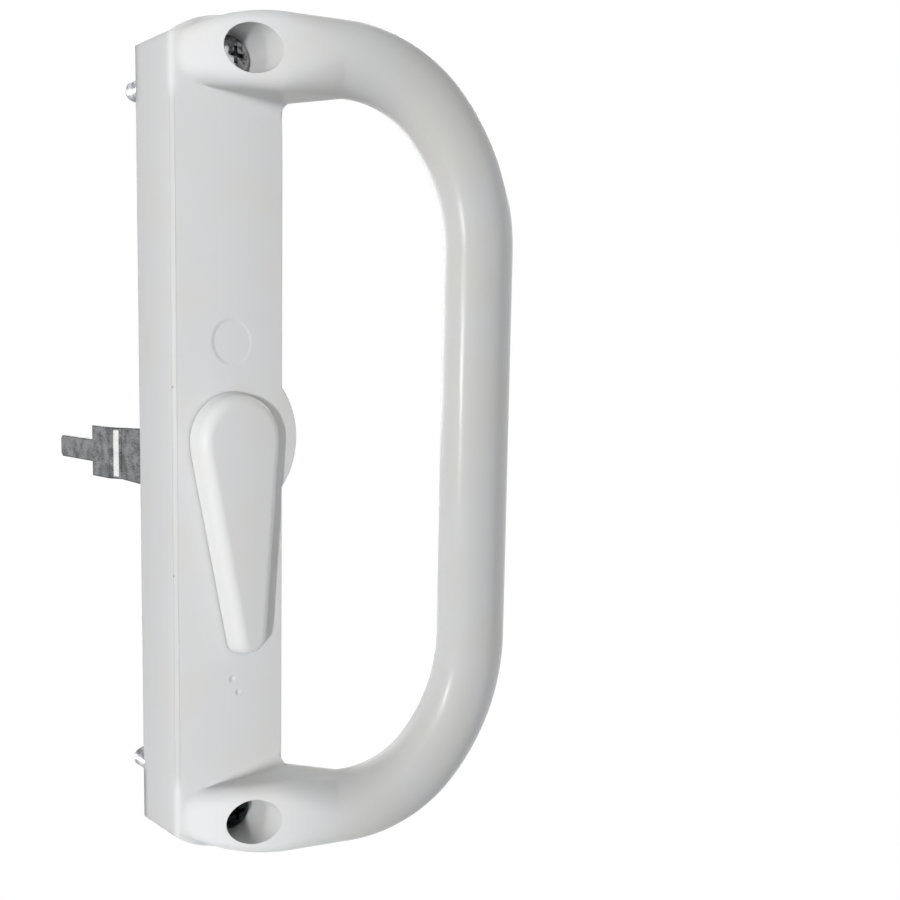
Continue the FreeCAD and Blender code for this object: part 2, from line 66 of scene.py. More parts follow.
class Slot(Enum):
    """The material slots of the record."""

    ENAMEL = "enamel"
    ACETAL = "acetal"
    SPRING_STEEL = "spring_steel"
    ZINC_PLATE = "zinc_plate"
    SCREW_STEEL = "screw_steel"


class Axis(Enum):
    """The channels of a split vector."""

    X = "X"
    Y = "Y"
    Z = "Z"


class Mixed(Enum):
    """What a Mix node blends: its data type, its two inputs and its output."""

    COLOUR = ("RGBA", 6, 7, 2)
    VECTOR = ("VECTOR", 4, 5, 1)


Operand = Union["Value", float]


class Value:
    """A number that a shader socket carries, with the arithmetic that adds Math nodes."""

    def __init__(self, graph: "Graph", socket: Socket) -> None:
        """Wrap a socket of a graph.

        Args:
            graph: the graph that owns the socket.
            socket: the output socket to wrap.
        """
        self.graph = graph
        self.socket = socket

    def _math(self, operation: str, *operands: Operand) -> "Value":
        """Add a Math node.

        Args:
            operation: the node's operation.
            operands: its inputs in order.

        Returns:
            The node's result.
        """
        sockets = dict(enumerate(operands))
        return self.graph.add("ShaderNodeMath", {"operation": operation}, sockets).value()

    def __add__(self, other: Operand) -> "Value":
        """Self plus other."""
        return self._math("ADD", self, other)

    __radd__ = __add__

    def __sub__(self, other: Operand) -> "Value":
        """Self minus other."""
        return self._math("SUBTRACT", self, other)

    def __rsub__(self, other: Operand) -> "Value":
        """Other minus self."""
        return self._math("SUBTRACT", other, self)

    def __mul__(self, other: Operand) -> "Value":
        """Self times other."""
        return self._math("MULTIPLY", self, other)

    __rmul__ = __mul__

    def __abs__(self) -> "Value":
        """Self without its sign."""
        return self._math("ABSOLUTE", self)

    def __lt__(self, other: Operand) -> "Value":
        """One where self is under other, else zero."""
        return self._math("LESS_THAN", self, other)

    def __gt__(self, other: Operand) -> "Value":
        """One where self is over other, else zero."""
        return self._math("GREATER_THAN", self, other)

    def between(self, low: float, high: float) -> "Value":
        """Low where self is zero, high where self is one."""
        return self * (high - low) + low

    def clamped(self) -> "Value":
        """Self, but no more than one."""
        return self._math("MINIMUM", self, 1.0)

    def root(self) -> "Value":
        """The square root of self."""
        return self._math("SQRT", self)

    def fade(self, full: float, none: float) -> "Value":
        """Bring self to a smooth mask.

        Args:
            full: where the mask is one.
            none: where the mask is zero.

        Returns:
            The mask, eased at both ends.
        """
        sockets = {"Value": self, "From Min": none, "From Max": full, "To Min": 0.0, "To Max": 1.0}
        settings = {"interpolation_type": "SMOOTHSTEP"}
        return self.graph.add("ShaderNodeMapRange", settings, sockets).value("Result")


class Added:
    """A node that a graph has just added."""

    def __init__(self, graph: "Graph", node: bpy.types.Node) -> None:
        """Keep a node and the graph it is in.

        Args:
            graph: the graph that owns the node.
            node: the node itself.
        """
        self.graph = graph
        self.node = node

    def out(self, key: Key = 0) -> Socket:
        """An output socket of the node, as it is."""
        return self.node.outputs[key]

    def value(self, key: Key = 0) -> Value:
        """An output socket of the node, ready for arithmetic."""
        return Value(self.graph, self.node.outputs[key])


class Graph:
    """The node tree of one material or of the world."""

    def __init__(self, owner: Union[bpy.types.Material, bpy.types.World]) -> None:
        """Empty the owner's node tree.

        Args:
            owner: the material or world to fill.
        """
        owner.use_nodes = True
        self.tree = owner.node_tree
        self.tree.nodes.clear()

    def add(self, kind: str, settings: dict[str, Any], sockets: dict[Key, Any]) -> Added:
        """Add a node, set it up, then fill its sockets.

        Args:
            kind: the node's type.
            settings: its properties, set first.
            sockets: values or links by socket name or number.

        Returns:
            The added node.
        """
        node = self.tree.nodes.new(kind)
        for name, setting in settings.items():
            setattr(node, name, setting)
        for key, filling in sockets.items():
            target = node.inputs[key]
            if isinstance(filling, Value):
                self.tree.links.new(filling.socket, target)
            elif isinstance(filling, Socket):
                self.tree.links.new(filling, target)
            else:
                target.default_value = filling
        return Added(self, node)

    def place_mm(self) -> Socket:
        """Read where on the piece a point is.

        Returns:
            The Object coordinates in millimetres.
        """
        place = self.add("ShaderNodeTexCoord", {}, {}).out("Object")
        sockets = {0: place, 1: (1 / MM,) * 3}
        return self.add("ShaderNodeVectorMath", {"operation": "MULTIPLY"}, sockets).out()

    def split(self, vector: Socket) -> dict[Axis, Value]:
        """The three channels of a vector."""
        parts = self.add("ShaderNodeSeparateXYZ", {}, {"Vector": vector})
        return {axis: parts.value(axis.value) for axis in Axis}

    def stretch(self, vector: Socket, scale: Triple) -> Socket:
        """A vector with each channel scaled."""
        return self.add("ShaderNodeMapping", {}, {"Vector": vector, "Scale": scale}).out()

    def noise(self, vector: Socket, scale: float, detail: float) -> Value:
        """Fractal noise.

        Args:
            vector: where it is read.
            scale: waves for each millimetre.
            detail: how many finer layers it has.

        Returns:
            The noise, about one half on average.
        """
        sockets = {"Vector": vector, "Scale": scale, "Detail": detail}
        return self.add("ShaderNodeTexNoise", {}, sockets).value("Fac")

    def mix(self, factor: Operand, first: Any, second: Any, kind: Mixed = Mixed.COLOUR) -> Socket:
        """Blend two colours or two vectors.

        Args:
            factor: how much of the second shows.
            first: what shows at factor zero.
            second: what shows at factor one.
            kind: what the two are.

        Returns:
            The blend.
        """
        data_type, one, two, result = kind.value
        sockets = {"Factor": factor, one: first, two: second}
        return self.add("ShaderNodeMix", {"data_type": data_type}, sockets).out(result)

    def soften(self, radius: float, samples: int = 6) -> Socket:
        """The normal of a surface whose edges are rounded by this radius in millimetres."""
        return self.add("ShaderNodeBevel", {"samples": samples}, {"Radius": radius * MM}).out()

    def rim(self, radius: float) -> Value:
        """Find the edges of a surface.

        Args:
            radius: how far from an edge the mask reaches, in millimetres.

        Returns:
            A mask that rises from zero towards the edges.
        """
        facing = self.add("ShaderNodeNewGeometry", {}, {}).out("Normal")
        sockets = {0: self.soften(radius), 1: facing}
        settings = {"operation": "DOT_PRODUCT"}
        return 1.0 - self.add("ShaderNodeVectorMath", settings, sockets).value("Value")

    def bump(self, height: Value, normal: Socket) -> Socket:
        """Raise a surface by a height map.

        Args:
            height: the map in millimetres.
            normal: the normal that it starts from.

        Returns:
            The new normal.
        """
        sockets = {"Height": height, "Strength": 1.0, "Distance": MM, "Normal": normal}
        return self.add("ShaderNodeBump", {}, sockets).out()

    def surface(self, sockets: dict[str, Any]) -> None:
        """Finish the material with one Principled shader.

        Args:
            sockets: values or links of the shader.
        """
        shader = self.add("ShaderNodeBsdfPrincipled", {}, sockets)
        self.add("ShaderNodeOutputMaterial", {}, {"Surface": shader.out()})


def colour(red: float, green: float, blue: float) -> tuple[float, float, float, float]:
    """An opaque colour in linear light."""
    return (red, green, blue, 1.0)


@dataclass(frozen=True)
class Finish:
    """What covers a piece: a slot of the record and the shader that shows it."""

    slot: Slot

    def material(self, name: str) -> bpy.types.Material:
        """The finish as a material.

        Args:
            name: what the material is called.

        Returns:
            The new material.
        """
        made = bpy.data.materials.new(name)
        graph = Graph(made)
        graph.surface(self.cover(graph, graph.place_mm()))
        return made

    def cover(self, graph: Graph, place: Socket) -> dict[str, Any]:
        """Work out the shader's inputs.

        Args:
            graph: the material's graph.
            place: Object coordinates in millimetres.

        Returns:
            Values or links of the shader by socket name.
        """
        raise NotImplementedError


@dataclass(frozen=True)
class Enamel(Finish):
    """White semi-gloss enamel on a die casting, with the marks of its mould and of its use, and
    with painted shade on the plate's left front edge.

    Sizes are in millimetres, and scales are waves for each millimetre. A pair that is called a
    fade is where a mask is full and where it ends.
    """

    slot: Slot = Slot.ENAMEL
    body: Triple = (0.695, 0.70, 0.71)
    cream: Triple = (0.695, 0.693, 0.68)
    # painted shade: the darker colour of the plate's left front edge, in place of a weaker
    # highlight there
    painted_shading: Triple = (0.57, 0.57, 0.565)
    chipped: Triple = (0.33, 0.32, 0.33)
    patch_scale: float = 0.06
    patch_fade: Pair = (0.66, 0.36)
    peel_scale: float = 0.75
    peel_height: float = 0.010
    wave_scale: float = 0.10
    wave_height: float = 0.10
    rough_scale: float = 0.35
    roughness: Pair = (0.19, 0.29)
    mirror_share: float = 0.12
    edge_radius: float = 0.22
    marks_until: float = -13.9
    disc_centre: Pair = (0.15, 23.3)
    disc_fade: Pair = (4.35, 5.45)
    disc_depth: float = 0.20
    dimples: tuple[Triple, ...] = ((-0.1, -53.1, 1.1), (1.5, -56.6, 0.9))
    dimple_depth: float = 0.26
    edge_middle: float = -13.95
    edge_fade: Pair = (0.6, 1.0)
    edge_slant_fade: Pair = (-27.87, -27.6)
    edge_up_fade: Pair = (71.0, 76.0)
    chip_scale: float = 0.5
    chip_fade: Pair = (0.74, 0.68)
    blend_radius: float = 3.0
    blend_across_fade: Pair = (-8.5, -5.5)
    blend_up_fade: Pair = (76.0, 72.0)
    marked: bool = True

    def cover(self, graph: Graph, place: Socket) -> dict[str, Any]:
        """Work out the shader's inputs.

        Args:
            graph: the material's graph.
            place: Object coordinates in millimetres.

        Returns:
            Values or links of the shader by socket name.
        """
        patches = graph.noise(place, self.patch_scale, detail=3.0)
        tint = graph.mix(patches.fade(*self.patch_fade), colour(*self.body), colour(*self.cream))
        peel = graph.noise(place, self.peel_scale, detail=2.0)
        waves = graph.noise(place, self.wave_scale, detail=1.0)
        height = peel * self.peel_height + waves * self.wave_height
        normal = graph.soften(self.edge_radius)
        if self.marked:
            height = height + self._marks(graph, place)
            # painted shade on the plate's left front edge, which tones down its highlight; the
            # chips on it are wear
            tint = self._edge_shade_and_chips(graph, place, tint)
            normal = self._blend_ramps(graph, place, normal)
        change = graph.noise(place, self.rough_scale, detail=3.0)
        return {
            "Base Color": tint,
            "Roughness": change.between(*self.roughness),
            "Specular IOR Level": self.mirror_share,
            "Normal": graph.bump(height, normal),
        }

    def _marks(self, graph: Graph, place: Socket) -> Value:
        """The sunken witness disc and the dimples on the front of the plate.

        Args:
            graph: the material's graph.
            place: Object coordinates in millimetres.

        Returns:
            Their height in millimetres.
        """
        channels = graph.split(place)
        on_front = channels[Axis.Y] < self.marks_until
        disc = self._away(channels, self.disc_centre)
        height = disc.fade(*self.disc_fade) * -self.disc_depth
        for across, up, radius in self.dimples:
            dimple = self._away(channels, (across, up)).fade(0.0, radius)
            height = height - dimple * self.dimple_depth
        return height * on_front

    def _blend_ramps(self, graph: Graph, place: Socket, normal: Socket) -> Socket:
        """Let the ends of the loop's ramps run softly into the plate.

        Args:
            graph: the material's graph.
            place: Object coordinates in millimetres.
            normal: the normal elsewhere.

        Returns:
            The normal with the soft ends.
        """
        channels = graph.split(place)
        near = channels[Axis.X].fade(*self.blend_across_fade)
        near = near * abs(channels[Axis.Z]).fade(*self.blend_up_fade)
        soft = graph.soften(self.blend_radius, samples=8)
        both = graph.mix(near, normal, soft, Mixed.VECTOR)
        return graph.add("ShaderNodeVectorMath", {"operation": "NORMALIZE"}, {0: both}).out()

    def _edge_shade_and_chips(self, graph: Graph, place: Socket, tint: Socket) -> Socket:
        """Paint shade on the plate's left front edge, to tone down its highlight, and chip it here
        and there.

        Args:
            graph: the material's graph.
            place: Object coordinates in millimetres.
            tint: the enamel's colour.

        Returns:
            The colour with the painted shade and the chips on it.
        """
        channels = graph.split(place)
        edge = (channels[Axis.X] + channels[Axis.Y]).fade(*self.edge_slant_fade)
        edge = edge * abs(channels[Axis.Y] - self.edge_middle).fade(*self.edge_fade)
        edge = edge * abs(channels[Axis.Z]).fade(*self.edge_up_fade)
        # painted shade: the edge band is darkened so that its highlight shows weaker
        painted_shading = graph.mix(edge, tint, colour(*self.painted_shading))
        chips = edge * graph.noise(place, self.chip_scale, detail=2.0).fade(*self.chip_fade)
        return graph.mix(chips, painted_shading, colour(*self.chipped))

    @staticmethod
    def _away(channels: dict[Axis, Value], spot: Pair) -> Value:
        """The distance from a spot on the plate, across and up."""
        across, up = channels[Axis.X] - spot[0], channels[Axis.Z] - spot[1]
        return (across * across + up * up).root()


@dataclass(frozen=True)
class ZincPlate(Finish):
    """Dull, grainy zinc plate on a steel stamping, with a painted highlight on the outside of its
    bend and painted shade along its edges.

    Sizes are in millimetres, and scales are waves for each millimetre. A pair that is called a
    fade is where a mask is full and where it ends.
    """

    slot: Slot = Slot.ZINC_PLATE
    bright: Triple = (0.30, 0.30, 0.305)
    dull: Triple = (0.10, 0.105, 0.11)
    # painted highlight: the bright colour on the outside of the bend
    painted_shading: Triple = (0.86, 0.86, 0.85)
    # painted shade: the near-black colour along the stamping's edges
    rim_shade: Triple = (0.035, 0.04, 0.042)
    stain_scale: float = 0.35
    stain_share: float = 0.6
    grain_scale: float = 2.2
    grain_stretch: Triple = (2.0, 0.5, 2.0)
    grain_share: float = 0.5
    grain_height: float = 0.03
    worn_fade: Pair = (0.68, 0.40)
    bend: float = 19.8
    bend_fade: Pair = (0.48, 0.78)
    blade_middle: float = -3.5
    blade_fade: Pair = (5.45, 5.75)
    outward: float = -0.2
    highlight_share: Pair = (0.8, 1.0)
    rim: float = 0.7
    rim_fade: Pair = (0.06, 0.006)
    rim_share: float = 0.85
    roughness: Pair = (0.28, 0.58)
    edge_radius: float = 0.18

    def cover(self, graph: Graph, place: Socket) -> dict[str, Any]:
        """Work out the shader's inputs.

        Args:
            graph: the material's graph.
            place: Object coordinates in millimetres.

        Returns:
            Values or links of the shader by socket name.
        """
        stain = graph.noise(place, self.stain_scale, detail=4.0)
        drawn = graph.stretch(place, self.grain_stretch)
        grain = graph.noise(drawn, self.grain_scale, detail=3.0)
        worn = (stain * self.stain_share + grain * self.grain_share).fade(*self.worn_fade)
        plated = graph.mix(worn, colour(*self.dull), colour(*self.bright))
        # painted shade along the stamping's edges, found by the edge mask
        rim_shade = graph.rim(self.rim).fade(*self.rim_fade) * self.rim_share
        plated = graph.mix(rim_shade, plated, colour(*self.rim_shade))
        # painted highlight on the outside of the bend, on the side that faces -X
        bend_highlight = self._bend_outside(graph, place) * worn.between(*self.highlight_share)
        return {
            "Base Color": graph.mix(bend_highlight, plated, colour(*self.painted_shading)),
            "Metallic": 1.0,
            "Roughness": grain.between(*self.roughness),
            "Normal": graph.bump(grain * self.grain_height, graph.soften(self.edge_radius)),
        }

    def _bend_outside(self, graph: Graph, place: Socket) -> Value:
        """Find where the painted highlight goes: the outside of the stamping's bend, on its side
        facing -X.

        Args:
            graph: the material's graph.
            place: Object coordinates in millimetres.

        Returns:
            A mask that is one there.
        """
        channels = graph.split(place)
        bend = abs(channels[Axis.Y] - self.bend).fade(*self.bend_fade)
        blade = abs(channels[Axis.Z] - self.blade_middle).fade(*self.blade_fade)
        facing = graph.add("ShaderNodeTexCoord", {}, {}).out("Normal")
        return bend * blade * (graph.split(facing)[Axis.X] < self.outward)


@dataclass(frozen=True)
class ScrewSteel(Finish):
    """Bright zinc plate on steel screws, with painted shade on the heads, darkest on the lower one.

    Sizes are in millimetres, and scales are waves for each millimetre. A pair that is called a
    fade is where a mask is full and where it ends.
    """

    slot: Slot = Slot.SCREW_STEEL
    bright: Triple = (0.66, 0.67, 0.69)
    blue: Triple = (0.28, 0.29, 0.32)
    # painted shade: the near-black colour of the heads deep in their counterbores
    shade_black: Triple = (0.02, 0.026, 0.026)
    cloud_scale: float = 0.5
    cloud_fade: Pair = (0.66, 0.40)
    cloud_height: float = 0.02
    head_shade_scale: float = 0.9
    head_shade_fade: Pair = (0.36, 0.56)
    head_shade_share: float = 0.7
    shade_base: float = 0.15
    lower_shade: float = 0.85
    head_fade: Pair = (-13.0, -12.6)
    roughness: Pair = (0.16, 0.32)
    edge_radius: float = 0.12

    def cover(self, graph: Graph, place: Socket) -> dict[str, Any]:
        """Work out the shader's inputs.

        Args:
            graph: the material's graph.
            place: Object coordinates in millimetres.

        Returns:
            Values or links of the shader by socket name.
        """
        cloud = graph.noise(place, self.cloud_scale, detail=3.0)
        plated = graph.mix(cloud.fade(*self.cloud_fade), colour(*self.bright), colour(*self.blue))
        channels = graph.split(place)
        # painted shade on the heads in their counterbores: patchy on the upper head, all dark on
        # the lower one
        head_shade = graph.noise(place, self.head_shade_scale, detail=3.0).fade(*self.head_shade_fade)
        lower = channels[Axis.Z] < 0.0
        painted_shade = (head_shade * self.head_shade_share + self.shade_base + lower * self.lower_shade).clamped()
        painted_shade = channels[Axis.Y].fade(*self.head_fade) * painted_shade
        normal = graph.soften(self.edge_radius, samples=4)
        return {
            "Base Color": graph.mix(painted_shade, plated, colour(*self.shade_black)),
            "Metallic": 1.0,
            "Roughness": cloud.between(*self.roughness),
            "Normal": graph.bump(cloud * self.cloud_height, normal),
        }


@dataclass(frozen=True)
class SpringSteel(Finish):
    """Oiled, dark spring steel.

    Sizes are in millimetres, and scales are waves for each millimetre. A pair that is called a
    fade is where a mask is full and where it ends.
    """

    slot: Slot = Slot.SPRING_STEEL
    blued: Triple = (0.20, 0.21, 0.23)
    bare: Triple = (0.36, 0.36, 0.36)
    cloud_scale: float = 0.6
    cloud_fade: Pair = (0.7, 0.4)
    roughness: Pair = (0.26, 0.46)
    edge_radius: float = 0.08

    def cover(self, graph: Graph, place: Socket) -> dict[str, Any]:
        """Work out the shader's inputs.

        Args:
            graph: the material's graph.
            place: Object coordinates in millimetres.

        Returns:
            Values or links of the shader by socket name.
        """
        cloud = graph.noise(place, self.cloud_scale, detail=3.0)
        tint = graph.mix(cloud.fade(*self.cloud_fade), colour(*self.blued), colour(*self.bare))
        return {
            "Base Color": tint,
            "Metallic": 1.0,
            "Roughness": cloud.between(*self.roughness),
            "Normal": graph.soften(self.edge_radius, samples=4),
        }


@dataclass(frozen=True)
class Acetal(Finish):
    """Natural moulded acetal.

    Sizes are in millimetres, and scales are waves for each millimetre. A pair that is called a
    fade is where a mask is full and where it ends.
    """

    slot: Slot = Slot.ACETAL
    natural: Triple = (0.66, 0.65, 0.61)
    shaded: Triple = (0.60, 0.585, 0.54)
    cloud_scale: float = 0.3
    cloud_fade: Pair = (0.7, 0.35)
    roughness: Pair = (0.36, 0.48)
    edge_radius: float = 0.12

    def cover(self, graph: Graph, place: Socket) -> dict[str, Any]:
        """Work out the shader's inputs.

        Args:
            graph: the material's graph.
            place: Object coordinates in millimetres.

        Returns:
            Values or links of the shader by socket name.
        """
        cloud = graph.noise(place, self.cloud_scale, detail=2.0)
        tint = graph.mix(cloud.fade(*self.cloud_fade), colour(*self.natural), colour(*self.shaded))
        return {
            "Base Color": tint,
            "Roughness": cloud.between(*self.roughness),
            "Normal": graph.soften(self.edge_radius, samples=4),
        }


def show(
    shape: bmesh.types.BMesh, name: str, smooth_under: float = SMOOTH_UNDER,
) -> bpy.types.Object:
    """Make an object of a shape, smooth but for its sharp edges.

    Args:
        shape: the shape, which is freed.
        name: what the object is called.
        smooth_under: the angle in degrees under which an edge is smooth.

    Returns:
        The new object, in the scene.
    """
    limit = math.radians(smooth_under)
    for face in shape.faces:
        face.smooth = True
    for edge in shape.edges:
        edge.smooth = edge.is_manifold and edge.calc_face_angle(0.0) < limit
    mesh = bpy.data.meshes.new(name)
    shape.to_mesh(mesh)
    shape.free()
    made = bpy.data.objects.new(name, mesh)
    bpy.context.scene.collection.objects.link(made)
    return made


def dress(piece: bpy.types.Object, node: str, body: Body, finish: Finish) -> None:
    """Give a piece its finish and its place in the part.

    Args:
        piece: the piece.
        node: the solid that it stands for.
        body: the body that it moves with.
        finish: what covers it.
    """
    piece.data.materials.clear()
    piece.data.materials.append(finish.material(f"{node}_{finish.slot.value}"))
    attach(piece, body.value)
    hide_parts(node)


def even_out(piece: bpy.types.Object) -> None:
    """Let a piece's large flat faces rule its shading.

    Args:
        piece: the piece.
    """
    weigh = piece.modifiers.new("flat_faces_first", "WEIGHTED_NORMAL")
    weigh.mode = "FACE_AREA_WITH_ANGLE"
    weigh.keep_sharp = True


@dataclass
class SmoothCopy:
    """A solid's own form, its facets joined and shaded as the smooth surface they stand for."""

    node: str
    body: Body
    finish: Finish

    def build(self) -> bpy.types.Object:
        """Copy the solid's mesh, join its facets and dress it.

        Returns:
            The finished piece.
        """
        shape = bmesh.new()
        shape.from_mesh(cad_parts[self.node].data)
        bmesh.ops.remove_doubles(shape, verts=shape.verts[:], dist=JOIN_WITHIN)
        piece = show(shape, f"{self.node}_looks")
        even_out(piece)
        dress(piece, self.node, self.body, self.finish)
        return piece


@dataclass
class ThumbLever:
    """The teardrop lever: a drafted blade with a rolled rim, on the solid's own stem.

    Sizes are in millimetres and degrees.
    """

    pivot_height: float = 1.5
    underside: float = -14.85
    head_radius: float = 10.9
    length: float = 49.0
    tip_width: float = 9.3
    tip_radius: float = 4.0
    thickness: float = 4.5
    draft: float = 12.0
    rim_radius: float = 2.6
    rim_steps: int = 8
    head_steps: int = 56
    tip_steps: int = 12
    rest_tilt: float = 3.5
    stem_cut: float = 0.01
    stem_sunk: float = 0.3
    finish: Enamel = Enamel(marked=False, body=(0.695, 0.70, 0.70), edge_radius=0.3)

    def build(self) -> bpy.types.Object:
        """Keep the solid's stem, put the blade on it and dress the lever.

        Returns:
            The finished lever.
        """
        shape = self._stem()
        blade = self._blade()
        carried = bpy.data.meshes.new("lever_blade")
        blade.to_mesh(carried)
        blade.free()
        shape.from_mesh(carried)
        bpy.data.meshes.remove(carried)
        bmesh.ops.recalc_face_normals(shape, faces=shape.faces[:])
        piece = show(shape, "thumb_lever_looks")
        even_out(piece)
        dress(piece, "thumb_lever", Body.THUMB_TURN, self.finish)
        return piece

    def _stem(self) -> bmesh.types.BMesh:
        """The solid's stem, cut off under its blade and capped inside the new one.

        Returns:
            The stem, in metres and in place.
        """
        shape = bmesh.new()
        shape.from_mesh(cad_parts["thumb_lever"].data)
        bmesh.ops.remove_doubles(shape, verts=shape.verts[:], dist=JOIN_WITHIN)
        cut = bmesh.ops.bisect_plane(
            shape, geom=shape.verts[:] + shape.edges[:] + shape.faces[:], dist=ON_PLANE,
            plane_co=(0.0, (self.underside + self.stem_cut) * MM, 0.0),
            plane_no=(0.0, -1.0, 0.0), clear_outer=True)
        rim = [item for item in cut["geom_cut"] if isinstance(item, bmesh.types.BMEdge)]
        bmesh.ops.edgeloop_fill(shape, edges=rim)
        ends = [item for item in cut["geom_cut"] if isinstance(item, bmesh.types.BMVert)]
        bmesh.ops.translate(shape, verts=ends, vec=(0.0, -self.stem_sunk * MM, 0.0))
        return shape

    def _blade(self) -> bmesh.types.BMesh:
        """The blade, raised from its outline step by step over the draft and the rim.

        Returns:
            The closed blade, in metres and in place.
        """
        shape = bmesh.new()
        face = self._outline(shape)
        foot = face.verts[:]
        for inward, rise in self._profile():
            bmesh.ops.inset_region(shape, faces=[face], thickness=inward, depth=rise,
                                   use_even_offset=True, use_boundary=True)
        shape.faces.new(reversed(foot))
        tilt = Matrix.Rotation(math.radians(-self.rest_tilt), 3, "Y")
        bmesh.ops.rotate(shape, verts=shape.verts[:], cent=(0, 0, 0), matrix=tilt)
        pivot = (0.0, self.underside, self.pivot_height)
        bmesh.ops.translate(shape, verts=shape.verts[:], vec=pivot)
        bmesh.ops.scale(shape, verts=shape.verts[:], vec=(MM,) * 3)
        return shape

    def _outline(self, shape: bmesh.types.BMesh) -> bmesh.types.BMFace:
        """Fill the teardrop: the head's arc, two straight sides and the two arcs of the tip.

        Args:
            shape: the empty shape that gets it.

        Returns:
            The face, which looks ahead of the plate.
        """
        side, down = self.tip_width / 2 - self.tip_radius, self.length - self.tip_radius
        gap = math.hypot(side, down)
        lean = math.acos((self.head_radius - self.tip_radius) / gap) - math.atan2(down, side)
        arcs = [
            ((0.0, 0.0), self.head_radius, lean, math.pi - 2 * lean, self.head_steps),
            ((-side, -down), self.tip_radius, math.pi - lean, math.pi / 2 + lean, self.tip_steps),
            ((side, -down), self.tip_radius, math.pi * 1.5, math.pi / 2 + lean, self.tip_steps),
        ]
        ends = []
        for (across, up), radius, start, sweep, steps in arcs:
            begin = (across + radius * math.cos(start), 0.0, up + radius * math.sin(start))
            first = shape.verts.new(begin)
            spun = bmesh.ops.spin(shape, geom=[first], cent=(across, 0.0, up), axis=(0, -1, 0),
                                  angle=sweep, steps=steps)["geom_last"]
            last = next(item for item in spun if isinstance(item, bmesh.types.BMVert))
            ends.append((first, last))
        for (_, last), (first, _) in zip(ends, ends[1:] + ends[:1]):
            shape.edges.new((last, first))
        face = bmesh.ops.edgeloop_fill(shape, edges=shape.edges[:])["faces"][0]
        face.normal_update()
        if face.normal.y > 0:
            face.normal_flip()
        return face

    def _profile(self) -> list[Pair]:
        """Follow the blade's side from its foot over the draft and the rim.

        Returns:
            How far each step goes inward and up.
        """
        slope = math.radians(self.draft)
        centre = self.thickness - self.rim_radius
        wall = centre + self.rim_radius * math.sin(slope)
        sweep = math.pi / 2 - slope
        turns = [slope + sweep * step / self.rim_steps for step in range(self.rim_steps + 1)]
        rim = [
            (self.rim_radius * (math.cos(before) - math.cos(after)),
             self.rim_radius * (math.sin(after) - math.sin(before)))
            for before, after in zip(turns, turns[1:])
        ]
        return [(wall * math.tan(slope), wall), *rim]


